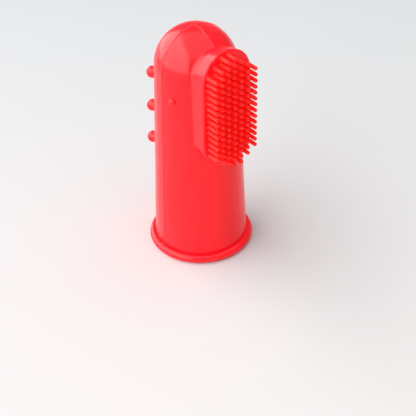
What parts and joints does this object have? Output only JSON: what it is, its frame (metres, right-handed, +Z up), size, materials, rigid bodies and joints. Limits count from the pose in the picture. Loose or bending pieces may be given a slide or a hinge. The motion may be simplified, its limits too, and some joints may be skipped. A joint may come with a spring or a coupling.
{
  "type": "finger toothbrush for pets",
  "caption": "Thimble-shaped silicone finger toothbrush for pets: tapered sleeve with a domed tip, rolled rim, raised pad of round-tipped bristles and massage nubs.",
  "frame": {"origin": "centre of the finger opening, in the plane that the rim stands on", "axes": "+Z up the sleeve towards the domed tip; the bristles point to -Y; +X to the right when looking along +Y"},
  "size_m": [0.0262, 0.028, 0.058],
  "materials": {
    "silicone_body": "satin",
    "silicone_bristles": "satin"
  },
  "bodies": {
    "brush_body": {"finger_sleeve": "silicone_body", "tip_dome": "silicone_body", "rim_bead": "silicone_body", "brush_plinth": "silicone_body", "back_left_nub_lower": "silicone_body", "back_left_nub_middle": "silicone_body", "back_left_nub_upper": "silicone_body", "back_right_nub_lower": "silicone_body", "back_right_nub_middle": "silicone_body", "back_right_nub_upper": "silicone_body", "side_nub_lower": "silicone_body", "side_nub_middle": "silicone_body", "side_nub_upper": "silicone_body", "grip_bump": "silicone_body"},
    "bristles_1": {"bristle_column_1": "silicone_bristles"},
    "bristles_2": {"bristle_column_2": "silicone_bristles"},
    "bristles_3": {"bristle_column_3": "silicone_bristles"},
    "bristles_4": {"bristle_column_4": "silicone_bristles"},
    "bristles_5": {"bristle_column_5": "silicone_bristles"},
    "bristles_6": {"bristle_column_6": "silicone_bristles"},
    "bristles_7": {"bristle_column_7": "silicone_bristles"}
  },
  "joints": [
    {"name": "bend_1", "type": "hinge", "parent": "brush_body", "child": "bristles_1", "pos_m": [-0.0054, -0.01192, 0.0415], "axis": [0, 0, 1], "range_deg": [-30, 30], "stiffness_Nm_per_rad": 0.000882},
    {"name": "bend_2", "type": "hinge", "parent": "brush_body", "child": "bristles_2", "pos_m": [-0.0036, -0.01192, 0.0415], "axis": [0, 0, 1], "range_deg": [-30, 30], "stiffness_Nm_per_rad": 0.001008},
    {"name": "bend_3", "type": "hinge", "parent": "brush_body", "child": "bristles_3", "pos_m": [-0.0018, -0.01192, 0.0415], "axis": [0, 0, 1], "range_deg": [-30, 30], "stiffness_Nm_per_rad": 0.001134},
    {"name": "bend_4", "type": "hinge", "parent": "brush_body", "child": "bristles_4", "pos_m": [0, -0.01192, 0.0415], "axis": [0, 0, 1], "range_deg": [-30, 30], "stiffness_Nm_per_rad": 0.001197},
    {"name": "bend_5", "type": "hinge", "parent": "brush_body", "child": "bristles_5", "pos_m": [0.0018, -0.01192, 0.0415], "axis": [0, 0, 1], "range_deg": [-30, 30], "stiffness_Nm_per_rad": 0.001134},
    {"name": "bend_6", "type": "hinge", "parent": "brush_body", "child": "bristles_6", "pos_m": [0.0036, -0.01192, 0.0415], "axis": [0, 0, 1], "range_deg": [-30, 30], "stiffness_Nm_per_rad": 0.001008},
    {"name": "bend_7", "type": "hinge", "parent": "brush_body", "child": "bristles_7", "pos_m": [0.0054, -0.01192, 0.0415], "axis": [0, 0, 1], "range_deg": [-30, 30], "stiffness_Nm_per_rad": 0.000882}
  ],
  "couplings": [
    {"joint": "bend_1", "follows": "bend_4", "ratio": 1},
    {"joint": "bend_2", "follows": "bend_4", "ratio": 1},
    {"joint": "bend_3", "follows": "bend_4", "ratio": 1},
    {"joint": "bend_5", "follows": "bend_4", "ratio": 1},
    {"joint": "bend_6", "follows": "bend_4", "ratio": 1},
    {"joint": "bend_7", "follows": "bend_4", "ratio": 1}
  ]
}
